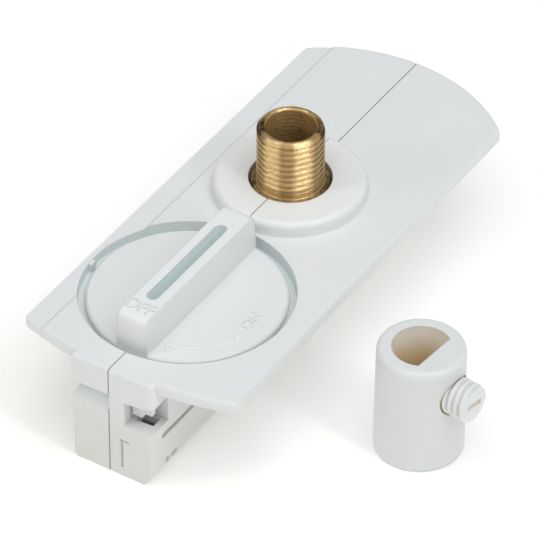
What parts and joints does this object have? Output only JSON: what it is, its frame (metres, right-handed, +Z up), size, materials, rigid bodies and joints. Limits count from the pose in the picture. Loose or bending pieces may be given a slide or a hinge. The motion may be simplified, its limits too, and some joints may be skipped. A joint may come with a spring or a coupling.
{
  "type": "track light adapter",
  "caption": "Track light adapter with a long mounting plate, rotary lock dial, tubular nipple in a round boss and a separate cord grip with its clamping screw",
  "frame": {"origin": "On the underside of the adapter's body, straight below the axis of the nipple.", "axes": "+Z up out of the plate, along the nipple; +Y along the length towards the plain round end, away from the dial; +X to the right, towards the side where the cord grip stands. x = 0 is the seam between the halves."},
  "size_m": [0.0602, 0.0841, 0.0308],
  "materials": {
    "housing_plastic": "off-white moulded plastic, satin",
    "dial_plastic": "off-white moulded plastic, satin",
    "grip_plastic": "off-white moulded plastic, satin",
    "carrier_plastic": "off-white moulded plastic, matt",
    "nipple_brass": "bare turned brass",
    "contact_brass": "bare stamped brass",
    "steel_screws": "zinc plated steel",
    "steel_plate": "bright stamped steel"
  },
  "bodies": {
    "adapter": {"housing_left": "housing_plastic", "housing_right": "housing_plastic", "threaded_nipple": "nipple_brass", "nipple_nut": "nipple_brass", "polarity_key": "dial_plastic", "neutral_terminal": "contact_brass", "live_terminal": "contact_brass", "earth_terminal": "contact_brass", "terminal_screw_1": "steel_screws", "terminal_screw_2": "steel_screws", "terminal_screw_3": "steel_screws", "housing_screw_1": "steel_screws", "housing_screw_2": "steel_screws", "housing_screw_3": "steel_screws", "live_strip": "contact_brass", "neutral_strip": "contact_brass", "earth_link": "contact_brass", "detent_spring": "steel_plate", "cord_grip": "grip_plastic"},
    "rotor": {"dial": "dial_plastic", "contact_carrier": "carrier_plastic", "carrier_screw": "steel_screws", "locking_plate": "steel_plate", "live_blade": "contact_brass", "neutral_blade": "contact_brass"},
    "clamp": {"grip_screw": "grip_plastic"}
  },
  "joints": [
    {"name": "dial_turn", "type": "hinge", "parent": "adapter", "child": "rotor", "pos_m": [0, -0.02754, 0], "axis": [0, 0, 1], "range_deg": [0, 90]},
    {"name": "grip_screw_travel", "type": "slide", "parent": "adapter", "child": "clamp", "axis": [-0.9945, 0.1045, 0], "range_m": [-0.001, 0.003]}
  ]
}
